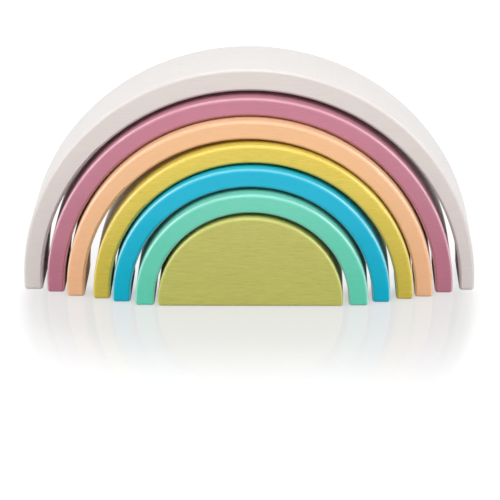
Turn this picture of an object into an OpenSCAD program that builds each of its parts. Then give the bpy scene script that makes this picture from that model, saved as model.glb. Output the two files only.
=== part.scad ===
// Rainbow stacker: six wooden arches nested over a solid half-disc, all standing loose on the floor.
// The radii build up from the core outwards: each arch adds its gap and its own wall.
// +X runs across the rainbow, -Y is its front, +Z is up, and the floor is at zero.

/* [Set] */
// Depth of every piece from front to back
piece_depth = 48; // [30:1:90]
// Radius rounded over along every edge
edge_round = 2.2; // [0.5:0.1:3.5]

/* [Green core] */
// Radius of the solid half-disc
core_radius = 61; // [40:0.5:90]
// Sideways stand of the core in the mint arch, as a share of their gap
core_side_share = -0.28; // [-0.7:0.01:0.7]

/* [Mint arch] */
// Gap between the mint arch and the core
mint_gap = 2.8; // [0.8:0.1:6]
// Wall of the mint arch at its feet
mint_wall = 12.9; // [8:0.1:20]
// Extra wall at the top of the mint arch, where its outer curve stands higher
mint_crown = 0.1; // [0.1:0.1:6]
// Distance that the mint arch stands behind the core
mint_step = 1.1; // [0:0.1:15]
// Sideways stand of the mint arch in the blue one, as a share of their gap
mint_side_share = 0.08; // [-0.7:0.01:0.7]

/* [Blue arch] */
// Gap between the blue arch and the mint one
blue_gap = 2.9; // [0.8:0.1:6]
// Wall of the blue arch at its feet
blue_wall = 12.1; // [8:0.1:20]
// Extra wall at the top of the blue arch, where its outer curve stands higher
blue_crown = 0.7; // [0.1:0.1:6]
// Distance that the blue arch stands behind the mint one
blue_step = 5.3; // [0:0.1:15]
// Sideways stand of the blue arch in the yellow one, as a share of their gap
blue_side_share = -0.39; // [-0.7:0.01:0.7]

/* [Yellow arch] */
// Gap between the yellow arch and the blue one
yellow_gap = 2.7; // [0.8:0.1:6]
// Wall of the yellow arch at its feet
yellow_wall = 11.4; // [8:0.1:20]
// Extra wall at the top of the yellow arch, where its outer curve stands higher
yellow_crown = 1.2; // [0.1:0.1:6]
// Distance that the yellow arch stands behind the blue one
yellow_step = 4.8; // [0:0.1:15]
// Sideways stand of the yellow arch in the peach one, as a share of their gap
yellow_side_share = 0.68; // [-0.7:0.01:0.7]

/* [Peach arch] */
// Gap between the peach arch and the yellow one
peach_gap = 3.5; // [0.8:0.1:6]
// Wall of the peach arch at its feet
peach_wall = 12; // [8:0.1:20]
// Extra wall at the top of the peach arch, where its outer curve stands higher
peach_crown = 0.9; // [0.1:0.1:6]
// Distance that the peach arch stands behind the yellow one
peach_step = 4; // [0:0.1:15]
// Sideways stand of the peach arch in the mauve one, as a share of their gap
peach_side_share = 0.04; // [-0.7:0.01:0.7]

/* [Mauve arch] */
// Gap between the mauve arch and the peach one
mauve_gap = 1.8; // [0.8:0.1:6]
// Wall of the mauve arch at its feet
mauve_wall = 11.9; // [8:0.1:20]
// Extra wall at the top of the mauve arch, where its outer curve stands higher
mauve_crown = 0.4; // [0.1:0.1:6]
// Distance that the mauve arch stands behind the peach one
mauve_step = 6.4; // [0:0.1:15]
// Sideways stand of the mauve arch in the grey one, as a share of their gap
mauve_side_share = -0.19; // [-0.7:0.01:0.7]

/* [Grey arch] */
// Gap between the grey arch and the mauve one
grey_gap = 3.8; // [0.8:0.1:6]
// Wall of the grey arch at its feet
grey_wall = 11.2; // [8:0.1:20]
// Extra wall at the top of the grey arch, where its outer curve stands higher
grey_crown = 3.9; // [0.1:0.1:6]
// Distance that the grey arch stands behind the mauve one
grey_step = 4.3; // [0:0.1:15]
// Distance that the opening of the grey arch lies to the right, which thickens its left leg
grey_bore_side = 1.2; // [-3:0.1:3]

/* [Hidden] */
$fn = 128;

// Inner radii, from the core outwards
mint_inner = core_radius + mint_gap;
blue_inner = mint_inner + mint_wall + blue_gap;
yellow_inner = blue_inner + blue_wall + yellow_gap;
peach_inner = yellow_inner + yellow_wall + peach_gap;
mauve_inner = peach_inner + peach_wall + mauve_gap;
grey_inner = mauve_inner + mauve_wall + grey_gap;

// Places front to back: each arch stands its own step behind the piece inside it,
// and the nest as a whole stands half before and half behind the origin
nest_step = mint_step + blue_step + yellow_step + peach_step + mauve_step + grey_step;
core_y = -nest_step / 2;
mint_y = core_y + mint_step;
blue_y = mint_y + blue_step;
yellow_y = blue_y + yellow_step;
peach_y = yellow_y + peach_step;
mauve_y = peach_y + mauve_step;
grey_y = mauve_y + grey_step;

// Places side to side: the grey arch is centred, and each piece inside stands off by its share of the gap
mauve_x = grey_bore_side + mauve_side_share * grey_gap;
peach_x = mauve_x + peach_side_share * mauve_gap;
yellow_x = peach_x + yellow_side_share * peach_gap;
blue_x = yellow_x + blue_side_share * yellow_gap;
mint_x = blue_x + mint_side_share * blue_gap;
core_x = mint_x + core_side_share * mint_gap;

// Half section through a solid half-disc, from its axis to its rim: the corners of the rim are round
module disc_section(radius) {
    half_depth = piece_depth / 2;
    translate([0, -half_depth])
        square([radius - edge_round, piece_depth]);
    translate([0, edge_round - half_depth])
        square([radius, piece_depth - 2 * edge_round]);
    for (side = [-1, 1])
        translate([radius - edge_round, side * (half_depth - edge_round)])
            circle(edge_round);
}

// Half section through an arch's opening: it flares at both ends, so that the edges left are round
module bore_section(inner) {
    half_depth = piece_depth / 2;
    translate([0, -half_depth - edge_round])
        square([inner, piece_depth + 2 * edge_round]);
    for (side = [0, 1])
        mirror([0, side])
            difference() {
                translate([inner, half_depth - edge_round])
                    square([edge_round, 2 * edge_round]);
                translate([inner + edge_round, half_depth - edge_round])
                    circle(edge_round);
            }
}

// Half turn of a section about an axis along Y
module half_turn() {
    rotate([90, 0, 0])
        rotate_extrude(angle = 180)
            children();
}

// Both halves of a section stood up as a block
module upright(height) {
    for (side = [0, 1])
        mirror([side, 0, 0])
            linear_extrude(height)
                children();
}

// Quarter-round run along Y, open on its upper and inner sides
module round_run(length) {
    rotate([90, 0, 0])
        rotate_extrude(angle = 90, start = -90)
            translate([0, -length / 2])
                square([edge_round, length]);
}

// Lower corner where two quarter-round runs meet: an eighth of a ball
module round_corner() {
    rotate_extrude(angle = 90)
        intersection() {
            circle(edge_round);
            translate([0, -edge_round])
                square(edge_round);
        }
}

// Foot under a straight end, one edge radius high: flat on the floor, round along its lower edges and corners
module foot(width) {
    flat_x = width / 2 - edge_round;
    flat_y = piece_depth / 2 - edge_round;
    translate([-flat_x, -flat_y, 0])
        cube([2 * flat_x, 2 * flat_y, edge_round]);
    for (side = [0, 1]) {
        mirror([side, 0, 0])
            translate([flat_x, 0, edge_round])
                round_run(2 * flat_y);
        mirror([0, side, 0])
            translate([0, flat_y, edge_round])
                rotate(90)
                    round_run(2 * flat_x);
    }
    for (across = [0, 1], along = [0, 1])
        mirror([across, 0, 0])
            mirror([0, along, 0])
                translate([flat_x, flat_y, edge_round])
                    round_corner();
}

// Arch: a half-disc raised by its crown, less its opening, on two feet
module arch(inner, wall, crown, bore_side = 0) {
    outer = inner + wall;
    difference() {
        translate([0, 0, edge_round]) {
            translate([0, 0, crown])
                half_turn()
                    disc_section(outer);
            upright(crown)
                disc_section(outer);
        }
        translate([bore_side, 0, edge_round]) {
            half_turn()
                bore_section(inner);
            translate([0, 0, -1])
                upright(1)
                    bore_section(inner);
        }
    }
    for (side = [-1, 1])
        translate([side * (inner + wall / 2) + bore_side / 2, 0, 0])
            foot(wall - side * bore_side);
}

module green_core() {
    color("#bcb968")
        translate([core_x, core_y, 0]) {
            translate([0, 0, edge_round])
                half_turn()
                    disc_section(core_radius);
            foot(2 * core_radius);
        }
}

module mint_arch() {
    color("#74d0b5")
        translate([mint_x, mint_y, 0])
            arch(mint_inner, mint_wall, mint_crown);
}

module blue_arch() {
    color("#24b4d0")
        translate([blue_x, blue_y, 0])
            arch(blue_inner, blue_wall, blue_crown);
}

module yellow_arch() {
    color("#dac658")
        translate([yellow_x, yellow_y, 0])
            arch(yellow_inner, yellow_wall, yellow_crown);
}

module peach_arch() {
    color("#f0bc8e")
        translate([peach_x, peach_y, 0])
            arch(peach_inner, peach_wall, peach_crown);
}

module mauve_arch() {
    color("#bc7a8a")
        translate([mauve_x, mauve_y, 0])
            arch(mauve_inner, mauve_wall, mauve_crown);
}

module grey_arch() {
    color("#dad0ce")
        translate([0, grey_y, 0])
            arch(grey_inner, grey_wall, grey_crown, grey_bore_side);
}

green_core();
mint_arch();
blue_arch();
yellow_arch();
peach_arch();
mauve_arch();
grey_arch();
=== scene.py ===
"""Rainbow stacker: six stained wooden arches nested over a half-disc, on a white studio floor."""

import logging
import math
from dataclasses import dataclass, field
from enum import Enum

import bmesh
import bpy
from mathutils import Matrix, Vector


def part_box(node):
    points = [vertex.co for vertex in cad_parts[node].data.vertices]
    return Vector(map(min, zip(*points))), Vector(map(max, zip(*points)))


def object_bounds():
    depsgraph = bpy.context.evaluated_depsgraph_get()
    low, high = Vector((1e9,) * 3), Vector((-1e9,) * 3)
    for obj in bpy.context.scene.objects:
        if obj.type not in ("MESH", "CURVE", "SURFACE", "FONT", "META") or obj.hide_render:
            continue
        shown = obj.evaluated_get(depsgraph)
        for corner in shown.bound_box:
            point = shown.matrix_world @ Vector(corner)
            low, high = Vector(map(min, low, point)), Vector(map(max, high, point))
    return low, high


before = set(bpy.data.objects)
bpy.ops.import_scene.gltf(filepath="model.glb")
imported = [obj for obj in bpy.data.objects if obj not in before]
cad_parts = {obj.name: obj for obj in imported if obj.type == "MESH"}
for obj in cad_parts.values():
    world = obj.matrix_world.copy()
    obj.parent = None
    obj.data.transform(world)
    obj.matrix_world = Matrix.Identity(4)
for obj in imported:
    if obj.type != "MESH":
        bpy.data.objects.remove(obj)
cad_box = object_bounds()

log = logging.getLogger("rainbow_stacker")

Pair = tuple[float, float]
Triple = tuple[float, float, float]
Colour = tuple[float, float, float, float]
Socket = bpy.types.NodeSocket

MM = 0.001
WHITE: Colour = (1.0, 1.0, 1.0, 1.0)
UNIT: Pair = (0.0, 1.0)

# Places of the colour sockets on Blender's Mix node
MIX_SHARE = 0
MIX_FIRST = 6
MIX_SECOND = 7
MIX_RESULT = 2

# Steps through the noise from one piece to the next, and from one kind of mark to the next
PIECE_STEP: Triple = (17.3, -3.9, 6.1)
MARK_STEP: Triple = (5.1, 9.7, 2.3)


def stain_colour(hex_code: str) -> Colour:
    """Turn a display colour into the linear colour that the shader takes, by the sRGB curve.

    Args:
        hex_code: Display colour as six hexadecimal digits.

    Returns:
        Linear red, green and blue, and a full alpha.
    """
    shown = [int(hex_code[i:i + 2], 16) / 255 for i in (0, 2, 4)]
    linear = [c / 12.92 if c <= 0.04045 else ((c + 0.055) / 1.055) ** 2.4 for c in shown]
    return (*linear, 1.0)


def new_finish(name: str) -> bpy.types.Material:
    """Make a material that has a node tree.

    Args:
        name: Name of the material.

    Returns:
        The new material.
    """
    material = bpy.data.materials.new(name)
    material.use_nodes = True
    return material


class FinishBench:
    """Node tree of one finish, with short calls for the nodes that it needs."""

    def __init__(self, tree: bpy.types.NodeTree) -> None:
        """Clear a node tree and start on it.

        Args:
            tree: Node tree to use.
        """
        self.tree = tree
        tree.nodes.clear()

    def node(self, kind: str, **settings: object) -> bpy.types.Node:
        """Add a node.

        Args:
            kind: Blender's name of the node type.
            settings: Properties to set on it.

        Returns:
            The new node.
        """
        made = self.tree.nodes.new(kind)
        for key, value in settings.items():
            setattr(made, key, value)
        return made

    def feed(self, socket: Socket, value: object) -> None:
        """Link a socket to another one, or set its value.

        Args:
            socket: Input to feed.
            value: Output socket to link, or the plain value.
        """
        if isinstance(value, Socket):
            self.tree.links.new(value, socket)
        else:
            socket.default_value = value

    def sum(self, kind: str, first: object, second: object = 0.0) -> Socket:
        """Work out one value from two.

        Args:
            kind: Operation of the Math node.
            first: First value or socket.
            second: Second value or socket.

        Returns:
            The result.
        """
        made = self.node("ShaderNodeMath", operation=kind)
        self.feed(made.inputs[0], first)
        self.feed(made.inputs[1], second)
        return made.outputs[0]

    def parts(self, vector: Socket) -> bpy.types.Node:
        """Split a vector.

        Args:
            vector: Socket to split.

        Returns:
            Node with the outputs X, Y and Z.
        """
        made = self.node("ShaderNodeSeparateXYZ")
        self.feed(made.inputs[0], vector)
        return made

    def span(self, value: Socket, old: Pair, new: Pair) -> Socket:
        """Move a value from one range to another, with soft ends.

        Args:
            value: Socket to move.
            old: Range that it comes from.
            new: Range that it goes to.

        Returns:
            The value in the new range.
        """
        made = self.node("ShaderNodeMapRange", interpolation_type="SMOOTHSTEP")
        self.feed(made.inputs["Value"], value)
        made.inputs["From Min"].default_value, made.inputs["From Max"].default_value = old
        made.inputs["To Min"].default_value, made.inputs["To Max"].default_value = new
        return made.outputs["Result"]

    def blend(self, share: Socket, first: object, second: object) -> Socket:
        """Mix two colours.

        Args:
            share: Share of the second colour.
            first: First colour or socket.
            second: Second colour or socket.

        Returns:
            The mixed colour.
        """
        made = self.node("ShaderNodeMix", data_type="RGBA", blend_type="MIX")
        self.feed(made.inputs[MIX_SHARE], share)
        self.feed(made.inputs[MIX_FIRST], first)
        self.feed(made.inputs[MIX_SECOND], second)
        return made.outputs[MIX_RESULT]

    def finish(self, kind: str, surface: Socket) -> None:
        """End the tree in its output.

        Args:
            kind: Blender's name of the output node type.
            surface: Shader to show.
        """
        self.feed(self.node(kind).inputs["Surface"], surface)


@dataclass(frozen=True)
class WoodMark:
    """One kind of mark in the wood, drawn out along its fibres.

    Attributes:
        layer: Number that keeps this kind apart from the others.
        reach: Length of one mark along X, Y and Z in millimetres.
        detail: Finer layers in it.
    """

    layer: int
    reach: Triple
    detail: float = 1.0


class Mark(Enum):
    """Kinds of marks in the wood."""

    CLOUD = WoodMark(1, (60.0, 24.0, 18.0), detail=2.0)
    RING = WoodMark(2, (150.0, 11.0, 5.5))
    FIBRE = WoodMark(3, (30.0, 0.8, 0.6), detail=2.0)
    FLECK = WoodMark(4, (7.5, 0.8, 0.5))
    GLINT = WoodMark(5, (9.0, 0.8, 0.5))
    WAVE = WoodMark(6, (34.0, 14.0, 14.0))


@dataclass(frozen=True)
class GrainShow:
    """How strongly each mark of the wood shows through a stain.

    Attributes:
        ring: Share by which late wood darkens the stain.
        fibre: Share by which the long fibres vary it.
        fleck: Share by which the short dark rays darken it.
        glint: Share by which the short pale rays lighten it.
        cloud: Share by which the stain soaks in unevenly.
        end: Share by which end grain darkens it.
    """

    ring: float
    fibre: float
    fleck: float
    glint: float
    cloud: float
    end: float


class Coverage(Enum):
    """How much of the wood a stain lets through."""

    SHEER = GrainShow(ring=0.015, fibre=0.04, fleck=0.11, glint=0.08, cloud=0.02, end=0.10)
    HALF = GrainShow(ring=0.01, fibre=0.02, fleck=0.045, glint=0.03, cloud=0.015, end=0.08)
    SOLID = GrainShow(ring=0.008, fibre=0.014, fleck=0.035, glint=0.022, cloud=0.01, end=0.06)


@dataclass(frozen=True)
class SandedWood:
    """Ranges that the wood under every stain shares, with those of the painted shade, light and
    highlights.

    Attributes:
        cloud: Noise over which the uneven soaking goes from least to most.
        ring: Noise over which late wood sets in.
        fibre: Noise over which the fibres go from pale to dark.
        fleck: Noise over which a dark ray sets in.
        glint: Noise over which a pale ray sets in.
        rough_fleck: Noise over which a dark ray turns rough.
        sunk_fleck: Noise over which a dark ray sinks in.
        end_grain: Sideways facing over which end grain sets in.
        edge: Product of front facing and the rest over which a rounded edge sets in.
        curved_side: Front facing over which the painted light of a curved side ends.
        shoulder: Sideways facing over which an edge counts as a shoulder.
        inner_side: Metres towards the axis over which an arch's inner side ends.
        foot_shade_height: Height in metres up to which the painted shade by the feet reaches.
        foot_shade_drift: Metres by which that height wanders.
        highlight_share: Share of the rim colour, a painted highlight, where the wood soaks least
            and most.
        inner_shade: Brightness of the inner side: painted shade that darkens the gaps between the
            pieces.
        inner_rough: Roughness that the inner side adds.
        fibre_rough: Roughness that the fibres take off and add.
        fleck_rough: Roughness that a dark ray adds.
        fleck_depth: Share of a dark ray in the fine relief.
        fibre_depth: Share of the fibres in the fine relief.
        fine_strength: Strength of the fine relief.
        fine_height: Height of the fine relief in metres.
        wave_strength: Strength of the broad waves that sanding leaves.
        wave_height: Height of those waves in metres.
    """

    cloud: Pair = (0.25, 0.75)
    ring: Pair = (0.42, 0.68)
    fibre: Pair = (0.3, 0.7)
    fleck: Pair = (0.55, 0.68)
    glint: Pair = (0.57, 0.7)
    rough_fleck: Pair = (0.58, 0.72)
    sunk_fleck: Pair = (0.56, 0.72)
    end_grain: Pair = (0.55, 1.0)
    edge: Pair = (0.06, 0.24)
    curved_side: Pair = (0.15, 0.75)
    shoulder: Pair = (0.3, 0.6)
    inner_side: Pair = (-0.05, -0.02)
    foot_shade_height: float = 0.09
    foot_shade_drift: float = 0.012
    highlight_share: Pair = (0.9, 0.45)
    inner_shade: float = 0.72
    inner_rough: float = 0.4
    fibre_rough: Pair = (0.04, 0.05)
    fleck_rough: float = 0.12
    fleck_depth: float = 0.7
    fibre_depth: float = 0.6
    fine_strength: float = 0.35
    fine_height: float = 0.06 * MM
    wave_strength: float = 0.5
    wave_height: float = 0.25 * MM


@dataclass(frozen=True)
class Facing:
    """Which way a piece's surface faces, as sockets.

    Attributes:
        across: How much it faces sideways.
        front: How much it faces the front or the back.
        edge: 1 on the rounded edges.
        inside: 1 on the inner side of an arch.
    """

    across: Socket
    front: Socket
    edge: Socket
    inside: Socket


@dataclass(frozen=True)
class StainFinish:
    """Satin stain over fine-grained wood whose fibres run along X, with painted shade, light and
    highlights.

    Attributes:
        name: Name of the material.
        seed: Number that picks this piece's part of the wood.
        coverage: How much of the wood shows through.
        shade: Display colour of the stain.
        foot_shade_colour: Display colour by the feet: painted shade, darker towards the floor.
        curve: Display colour on the curved sides: painted light, paler where light falls from
            above.
        rim: Display colour on the rounded edges: a painted highlight.
        shoulder: Display colour on the rounded edges that face sideways: a brighter painted
            highlight.
        gloss: Roughness of the satin coat.
        coat: Refractive index of the satin coat.
        wood: Wood under the stain.
    """

    name: str
    seed: int
    coverage: Coverage
    shade: str
    foot_shade_colour: str
    curve: str
    rim: str
    shoulder: str
    gloss: float = 0.36
    coat: float = 1.48
    wood: SandedWood = SandedWood()

    def grain(self, bench: FinishBench, spot: bpy.types.Node, mark: Mark) -> Socket:
        """Add the noise for one kind of mark, drawn out along the wood.

        Args:
            bench: Node tree of the stain.
            spot: Node that gives the coordinates on the piece.
            mark: Kind of mark.

        Returns:
            Noise from 0 to 1, mostly near 0.5.
        """
        look = mark.value
        steps = zip(PIECE_STEP, MARK_STEP)
        place = bench.node("ShaderNodeMapping")
        bench.feed(place.inputs["Vector"], spot.outputs["Object"])
        place.inputs["Scale"].default_value = tuple(1 / (length * MM) for length in look.reach)
        place.inputs["Location"].default_value = tuple(
            piece * self.seed + layer * look.layer for piece, layer in steps)
        noise = bench.node("ShaderNodeTexNoise")
        bench.feed(noise.inputs["Vector"], place.outputs[0])
        noise.inputs["Scale"].default_value = 1.0
        noise.inputs["Detail"].default_value = look.detail
        return noise.outputs["Fac"]

    def facing(self, bench: FinishBench, spot: bpy.types.Node) -> Facing:
        """Work out which way the surface faces.

        Args:
            bench: Node tree of the stain.
            spot: Node that gives the coordinates on the piece.

        Returns:
            The sockets that tell.
        """
        normal = bench.parts(spot.outputs["Normal"])
        across = bench.sum("ABSOLUTE", normal.outputs["X"])
        front = bench.sum("ABSOLUTE", normal.outputs["Y"])
        level = bench.sum("MULTIPLY", front, bench.sum("SUBTRACT", 1.0, front))
        upright = bench.node("ShaderNodeVectorMath", operation="MULTIPLY")
        bench.feed(upright.inputs[0], spot.outputs["Object"])
        bench.feed(upright.inputs[1], (1.0, 0.0, 1.0))
        outwards = bench.node("ShaderNodeVectorMath", operation="DOT_PRODUCT")
        bench.feed(outwards.inputs[0], upright.outputs[0])
        bench.feed(outwards.inputs[1], spot.outputs["Normal"])
        return Facing(
            across=across,
            front=front,
            edge=bench.span(level, self.wood.edge, UNIT),
            inside=bench.span(outwards.outputs["Value"], self.wood.inner_side, (1.0, 0.0)),
        )

    def stain(self, bench: FinishBench, height: Socket, cloud: Socket, facing: Facing) -> Socket:
        """Lay the stain's colours by height, side and edge: painted shade by the feet, painted
        light on the curved sides and painted highlights on the rounded edges.

        Args:
            bench: Node tree of the stain.
            height: Height above the floor.
            cloud: Noise of the uneven soaking.
            facing: Which way the surface faces.

        Returns:
            Colour of the stain with its painted shade, light and highlights, without the grain.
        """
        wood = self.wood
        # Painted shade: the colour darkens towards the feet, where less light falls.
        drift = bench.span(cloud, wood.cloud, (-wood.foot_shade_drift, wood.foot_shade_drift))
        foot_shaded = bench.span(bench.sum("ADD", height, drift), (0.0, wood.foot_shade_height), (1.0, 0.0))
        colour = bench.blend(foot_shaded, stain_colour(self.shade), stain_colour(self.foot_shade_colour))
        # Painted light: the curved sides take a paler colour, as light falls on them from above.
        side = bench.span(facing.front, wood.curved_side, (1.0, 0.0))
        colour = bench.blend(side, colour, stain_colour(self.curve))
        # Painted highlight on the rounded edges, uneven along them and brighter where the edges
        # face sideways.
        edge_highlight = bench.sum("MULTIPLY", facing.edge, bench.span(cloud, wood.cloud, wood.highlight_share))
        sideways = bench.span(facing.across, wood.shoulder, UNIT)
        pale = bench.blend(sideways, stain_colour(self.rim), stain_colour(self.shoulder))
        return bench.blend(edge_highlight, colour, pale)

    def tone(self, bench: FinishBench, grain: dict[Mark, Socket], facing: Facing) -> Socket:
        """Work out how much the grain darkens or lightens the stain, and how much the painted
        shade on the inner side darkens it.

        Args:
            bench: Node tree of the stain.
            grain: Noise of each kind of mark.
            facing: Which way the surface faces.

        Returns:
            Factor for the colour.
        """
        wood = self.wood
        show = self.coverage.value
        end_grain = bench.span(facing.across, wood.end_grain, UNIT)
        steps = [
            (grain[Mark.RING], wood.ring, (1.0, 1 - show.ring)),
            (grain[Mark.FIBRE], wood.fibre, (1 + show.fibre / 2, 1 - show.fibre / 2)),
            (grain[Mark.FLECK], wood.fleck, (1.0, 1 - show.fleck)),
            (grain[Mark.GLINT], wood.glint, (1.0, 1 + show.glint)),
            (end_grain, UNIT, (1.0, 1 - show.end)),
            # Painted shade on the inner side of an arch, which darkens the gaps between the
            # pieces.
            (facing.inside, UNIT, (1.0, wood.inner_shade)),
        ]
        tone = bench.span(grain[Mark.CLOUD], wood.cloud, (1 + show.cloud / 2, 1 - show.cloud / 2))
        for value, old, new in steps:
            tone = bench.sum("MULTIPLY", tone, bench.span(value, old, new))
        return tone

    def sheen(self, bench: FinishBench, grain: dict[Mark, Socket], facing: Facing) -> Socket:
        """Work out the roughness of the satin coat.

        Args:
            bench: Node tree of the stain.
            grain: Noise of each kind of mark.
            facing: Which way the surface faces.

        Returns:
            Roughness.
        """
        wood = self.wood
        less, more = wood.fibre_rough
        sheen = bench.span(grain[Mark.FIBRE], wood.fibre, (self.gloss - less, self.gloss + more))
        fleck = bench.span(grain[Mark.FLECK], wood.rough_fleck, (0.0, wood.fleck_rough))
        sheen = bench.sum("ADD", sheen, fleck)
        return bench.sum("ADD", sheen, bench.span(facing.inside, UNIT, (0.0, wood.inner_rough)))

    def relief(self, bench: FinishBench, grain: dict[Mark, Socket]) -> Socket:
        """Raise the fibres, sink the rays and leave broad waves from sanding.

        Args:
            bench: Node tree of the stain.
            grain: Noise of each kind of mark.

        Returns:
            Normal of the surface.
        """
        wood = self.wood
        sunk = bench.span(grain[Mark.FLECK], wood.sunk_fleck, (0.0, -1.0))
        sunk = bench.sum("MULTIPLY", sunk, wood.fleck_depth)
        raised = bench.sum("MULTIPLY", grain[Mark.FIBRE], wood.fibre_depth)
        fine = bench.node("ShaderNodeBump")
        fine.inputs["Strength"].default_value = wood.fine_strength
        fine.inputs["Distance"].default_value = wood.fine_height
        bench.feed(fine.inputs["Height"], bench.sum("ADD", sunk, raised))
        broad = bench.node("ShaderNodeBump")
        broad.inputs["Strength"].default_value = wood.wave_strength
        broad.inputs["Distance"].default_value = wood.wave_height
        bench.feed(broad.inputs["Height"], grain[Mark.WAVE])
        bench.feed(broad.inputs["Normal"], fine.outputs[0])
        return broad.outputs[0]

    def material(self) -> bpy.types.Material:
        """Build the stain's node tree.

        Returns:
            The finished material.
        """
        material = new_finish(self.name)
        bench = FinishBench(material.node_tree)
        spot = bench.node("ShaderNodeTexCoord")
        grain = {mark: self.grain(bench, spot, mark) for mark in Mark}
        facing = self.facing(bench, spot)
        height = bench.parts(spot.outputs["Object"]).outputs["Z"]
        toned = bench.node("ShaderNodeVectorMath", operation="SCALE")
        bench.feed(toned.inputs[0], self.stain(bench, height, grain[Mark.CLOUD], facing))
        bench.feed(toned.inputs["Scale"], self.tone(bench, grain, facing))
        shader = bench.node("ShaderNodeBsdfPrincipled")
        bench.feed(shader.inputs["Base Color"], toned.outputs[0])
        bench.feed(shader.inputs["Roughness"], self.sheen(bench, grain, facing))
        bench.feed(shader.inputs["Normal"], self.relief(bench, grain))
        shader.inputs["IOR"].default_value = self.coat
        bench.finish("ShaderNodeOutputMaterial", shader.outputs[0])
        return material


@dataclass
class StackPiece:
    """One loose wooden piece of the set.

    Attributes:
        node: Its node in the frame.
        finish: Stain that it gets.
    """

    node: str
    finish: StainFinish

    def dress(self) -> None:
        """Put the stain on the piece."""
        material = self.finish.material()
        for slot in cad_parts[self.node].material_slots:
            slot.material = material
        low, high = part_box(self.node)
        width, depth, height = (high - low) / MM
        size = f"{width:.1f} x {depth:.1f} x {height:.1f} mm"
        log.info("%s: %s in %s", self.node, size, self.finish.name)


@dataclass
class Nest:
    """The whole set, from the core outwards.

    Attributes:
        pieces: The loose pieces.
    """

    # In the finishes below, the colour by the feet is painted shade, the colour of the curved
    # sides is painted light, and the rim and shoulder colours are painted highlights.
    pieces: list[StackPiece] = field(default_factory=lambda: [
        StackPiece("green_core", StainFinish(
            "green_stain_wood", 1, Coverage.SHEER,
            shade="c1be67", foot_shade_colour="bcba5d", curve="c7c570", rim="ccd075", shoulder="dde08e")),
        StackPiece("mint_arch", StainFinish(
            "mint_stain_wood", 2, Coverage.SOLID,
            shade="71d3b9", foot_shade_colour="59ccae", curve="7cd8c0", rim="aaddd2", shoulder="c6f2e6")),
        # The blue stain's red at the top, which its feet lack, is a painted sheen.
        StackPiece("blue_arch", StainFinish(
            "blue_stain_wood", 3, Coverage.SOLID,
            shade="2cb9d8", foot_shade_colour="00b1cf", curve="30c2e0", rim="8fd3e6", shoulder="c4f0fa",
            coat=1.25)),
        StackPiece("yellow_arch", StainFinish(
            "yellow_stain_wood", 4, Coverage.SHEER,
            shade="e3c955", foot_shade_colour="cdb73f", curve="e7d05c", rim="f0d976", shoulder="f8ec9c")),
        StackPiece("peach_arch", StainFinish(
            "peach_stain_wood", 5, Coverage.HALF,
            shade="f2be90", foot_shade_colour="efb68a", curve="f4c598", rim="f2c19f", shoulder="fcdcba")),
        StackPiece("mauve_arch", StainFinish(
            "mauve_stain_wood", 6, Coverage.HALF,
            shade="c17d91", foot_shade_colour="b66f85", curve="cb8a9b", rim="e2abb6", shoulder="f0cad4")),
        StackPiece("grey_arch", StainFinish(
            "grey_stain_wood", 7, Coverage.SOLID,
            shade="dad1cd", foot_shade_colour="d9d0cd", curve="dfdbd9", rim="e2dcd9", shoulder="e2dcd9")),
    ])

    def dress(self) -> None:
        """Stain every piece."""
        for piece in self.pieces:
            piece.dress()


@dataclass
class Panel:
    """One soft light panel that looks at a point of the nest.

    Attributes:
        name: Name of the panel.
        place: Where it hangs, in metres.
        width: Size across.
        height: Size the other way.
        glow: Brightness of its face, where 1 is white.
        target: Point that it looks at.
    """

    name: str
    place: Triple
    width: float
    height: float
    glow: float
    target: Triple = (0.0, 0.0, 0.07)

    def hang(self) -> None:
        """Make the panel and turn it to its target."""
        data = bpy.data.lights.new(self.name, "AREA")
        data.shape = "RECTANGLE"
        data.size = self.width
        data.size_y = self.height
        data.energy = math.pi * self.width * self.height * self.glow
        panel = bpy.data.objects.new(self.name, data)
        dx, dy, dz = (t - p for t, p in zip(self.target, self.place))
        panel.location = self.place
        panel.rotation_euler = (math.atan2(math.hypot(dx, dy), -dz), 0.0, math.atan2(-dx, dy))
        bpy.context.scene.collection.objects.link(panel)


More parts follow.
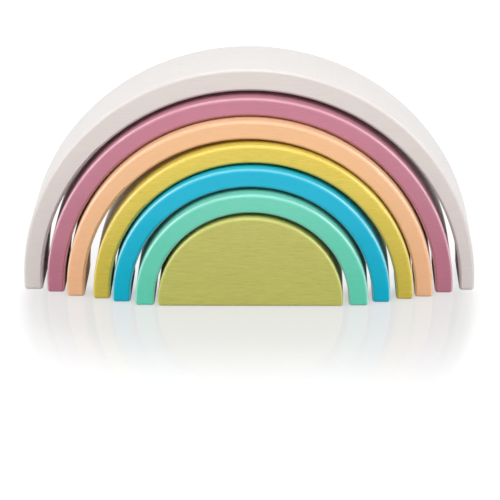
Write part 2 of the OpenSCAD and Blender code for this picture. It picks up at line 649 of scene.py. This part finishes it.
@dataclass
class Studio:
    """Polished white floor, soft panels and a pale room.

    Attributes:
        half_floor: Half the side of the square floor.
        floor_shade: Linear grey of the floor where it lights the nest.
        shadow_share: Linear grey of the part of the floor's look that keeps the nest's shadow.
        floor_lift: Light that only the camera and reflections see on the floor, close to the nest.
        front_shade: Share of that light that is missing just in front of the nest.
        shade_reach: Distance from which a piece can still shade the floor.
        shade_full: Share of the sky that is hidden where this shade is full.
        shade_full_right: The same share at the right end, where the shade is deeper.
        shade_lean: Share of the distance in front by which the shade's ends curve in.
        shade_soft: Distance over which the shade's ends fade, to either side.
        shade_start: Places along Y over which the shade sets in.
        sky_samples: Rays that tell how much of the sky is hidden.
        polish: Share of the floor's look that is a reflection, close to the nest.
        polish_blur: Roughness of that reflection.
        polish_reach: Distance from the nest at which the reflection is gone.
        white_reach: Distance from the nest at which the floor looks plain white.
        room: Strength of the light from the front of the room.
        backdrop: Strength of the light from the back of the room.
        room_turn: Directions along Y over which the front of the room turns into its back.
        panels: The light panels.
    """

    half_floor: float = 4.0
    floor_shade: float = 0.5
    shadow_share: float = 0.22
    floor_lift: float = 0.83
    front_shade: float = 0.285
    shade_reach: float = 0.4
    shade_full: float = 0.19
    shade_full_right: float = 0.10
    shade_lean: float = 0.52
    shade_soft: float = 0.009
    shade_start: Pair = (-0.018, 0.0)
    sky_samples: int = 16
    polish: float = 0.10
    polish_blur: float = 0.005
    polish_reach: float = 0.15
    white_reach: float = 0.25
    room: float = 0.15
    backdrop: float = 1.5
    room_turn: Pair = (-0.3, 0.9)
    panels: list[Panel] = field(default_factory=lambda: [
        Panel("front_panel", (0.0, -0.64, 0.72), 0.62, 0.36, 6.1),
        Panel("top_panel", (0.0, -0.42, 0.95), 0.80, 0.50, 1.7),
        Panel("left_panel", (-0.85, -0.25, 0.40), 0.42, 0.72, 3.6),
        Panel("right_panel", (0.85, -0.25, 0.40), 0.42, 0.72, 3.6),
    ])

    @staticmethod
    def seen(bench: FinishBench) -> Socket:
        """Tell the rays that look at the stage from those that only light it.

        Args:
            bench: Node tree that asks.

        Returns:
            1 for camera, glossy and transmission rays, otherwise 0.
        """
        rays = bench.node("ShaderNodeLightPath")
        looks = bench.sum("MAXIMUM", rays.outputs["Is Camera Ray"], rays.outputs["Is Glossy Ray"])
        return bench.sum("MAXIMUM", looks, rays.outputs["Is Transmission Ray"])

    @staticmethod
    def distance(bench: FinishBench, place: bpy.types.Node) -> Socket:
        """Work out how far a point of the floor lies from the nest.

        Args:
            bench: Node tree of the floor.
            place: Node that gives the point's coordinates.

        Returns:
            Distance in metres, 0 under the nest.
        """
        low, high = cad_box
        away = []
        for axis, name in enumerate("XY"):
            past = bench.sum("SUBTRACT", place.outputs[name], float(high[axis]))
            before = bench.sum("SUBTRACT", float(low[axis]), place.outputs[name])
            apart = bench.sum("MAXIMUM", bench.sum("MAXIMUM", past, before), 0.0)
            away.append(bench.sum("MULTIPLY", apart, apart))
        return bench.sum("SQRT", bench.sum("ADD", *away))

    def shade(self, bench: FinishBench, place: bpy.types.Node) -> Socket:
        """Shade the floor softly in front of the nest, where it hides the bright backdrop.

        Args:
            bench: Node tree of the floor.
            place: Node that gives the point's coordinates.

        Returns:
            Share of the floor's lift that is left.
        """
        x, y = place.outputs["X"], place.outputs["Y"]
        half = float(cad_box[1][0])
        ahead = bench.sum("MULTIPLY", bench.sum("MINIMUM", y, 0.0), self.shade_lean)
        aside = bench.sum("MULTIPLY", x, x)
        curve = bench.sum("SQRT", bench.sum("ADD", aside, bench.sum("MULTIPLY", ahead, ahead)))
        ends = (half - self.shade_soft, half + self.shade_soft)
        across = bench.span(curve, ends, (1.0, 0.0))
        near = bench.span(y, self.shade_start, (1.0, 0.0))
        sky = bench.node("ShaderNodeAmbientOcclusion", samples=self.sky_samples)
        sky.inputs["Distance"].default_value = self.shade_reach
        hidden = bench.sum("SUBTRACT", 1.0, sky.outputs["AO"])
        enough = bench.span(x, (0.0, half), (self.shade_full, self.shade_full_right))
        full = bench.sum("MINIMUM", bench.sum("DIVIDE", hidden, enough), 1.0)
        dim = bench.sum("MULTIPLY", across, bench.sum("MULTIPLY", near, full))
        return bench.sum("SUBTRACT", 1.0, bench.sum("MULTIPLY", dim, self.front_shade))

    def floor_finish(self) -> bpy.types.Material:
        """Build the floor's node tree: paint, lift and a reflection close to the nest.

        Returns:
            The finished material.
        """
        material = new_finish("white_floor")
        bench = FinishBench(material.node_tree)
        place = bench.parts(bench.node("ShaderNodeTexCoord").outputs["Object"])
        away = self.distance(bench, place)
        seen = self.seen(bench)
        paint = bench.node("ShaderNodeBsdfDiffuse")
        grey = bench.span(seen, UNIT, (self.floor_shade, self.shadow_share))
        bench.feed(paint.inputs["Color"], grey)
        lift = bench.node("ShaderNodeEmission")
        glow = bench.span(away, (0.0, self.white_reach), (self.floor_lift, 1.0))
        glow = bench.sum("MULTIPLY", glow, self.shade(bench, place))
        bench.feed(lift.inputs["Strength"], bench.sum("MULTIPLY", seen, glow))
        lifted = bench.node("ShaderNodeAddShader")
        bench.feed(lifted.inputs[0], paint.outputs[0])
        bench.feed(lifted.inputs[1], lift.outputs[0])
        mirror = bench.node("ShaderNodeBsdfGlossy")
        mirror.inputs["Color"].default_value = WHITE
        mirror.inputs["Roughness"].default_value = self.polish_blur
        polished = bench.node("ShaderNodeMixShader")
        share = bench.span(away, (0.0, self.polish_reach), (self.polish, 0.0))
        bench.feed(polished.inputs[0], share)
        bench.feed(polished.inputs[1], lifted.outputs[0])
        bench.feed(polished.inputs[2], mirror.outputs[0])
        bench.finish("ShaderNodeOutputMaterial", polished.outputs[0])
        return material

    def lay_floor(self) -> None:
        """Make the polished floor, which looks plain white away from the nest."""
        shape = bmesh.new()
        bmesh.ops.create_grid(shape, x_segments=1, y_segments=1, size=self.half_floor)
        mesh = bpy.data.meshes.new("studio_floor")
        shape.to_mesh(mesh)
        shape.free()
        mesh.materials.append(self.floor_finish())
        floor = bpy.data.objects.new("studio_floor", mesh)
        bpy.context.scene.collection.objects.link(floor)

    def light_room(self) -> None:
        """Set the soft light from all round, which the camera sees as plain white."""
        world = bpy.data.worlds.new("pale_room")
        bpy.context.scene.world = world
        world.use_nodes = True
        bench = FinishBench(world.node_tree)
        way = bench.parts(bench.node("ShaderNodeTexCoord").outputs["Generated"])
        soft = bench.span(way.outputs["Y"], self.room_turn, (self.room, self.backdrop))
        seen = self.seen(bench)
        unseen = bench.sum("MULTIPLY", bench.sum("SUBTRACT", 1.0, seen), soft)
        light = bench.node("ShaderNodeBackground")
        bench.feed(light.inputs["Strength"], bench.sum("ADD", seen, unseen))
        bench.finish("ShaderNodeOutputWorld", light.outputs[0])

    def build(self) -> None:
        """Lay the floor, light the room and hang the panels."""
        self.lay_floor()
        self.light_room()
        for panel in self.panels:
            panel.hang()
        log.info("studio: floor and %d panels", len(self.panels))


@dataclass
class PhotoCamera:
    """Camera at the photograph's angle.

    Attributes:
        place: Where it stands, in metres.
        dip: Angle below the level, in degrees.
        turn: Angle about the vertical, in degrees.
        lens: Focal length in millimetres.
        sensor: Sensor width in millimetres.
        shift: Shift of the lens across and up, as shares of the frame.
    """

    place: Triple = (0.03367, -1.42531, 0.65367)
    dip: float = 22.830
    turn: float = 0.251
    lens: float = 168.02
    sensor: float = 36.0
    shift: Pair = (-0.0808, -0.0802)

    def build(self) -> None:
        """Make the camera and use it."""
        data = bpy.data.cameras.new("photo_camera")
        data.lens = self.lens
        data.sensor_width = self.sensor
        data.shift_x, data.shift_y = self.shift
        camera = bpy.data.objects.new("photo_camera", data)
        camera.location = self.place
        camera.rotation_euler = (math.radians(90 - self.dip), 0.0, math.radians(self.turn))
        bpy.context.scene.collection.objects.link(camera)
        bpy.context.scene.camera = camera
        bpy.context.scene.view_settings.view_transform = "Standard"
        log.info("camera: %.1f mm lens, %.2f degrees down", self.lens, self.dip)


def main() -> None:
    """Build the camera, the studio and the nest."""
    logging.basicConfig(level=logging.INFO, format="%(name)s %(message)s")
    PhotoCamera().build()
    Studio().build()
    Nest().dress()


if __name__ == "__main__":
    main()
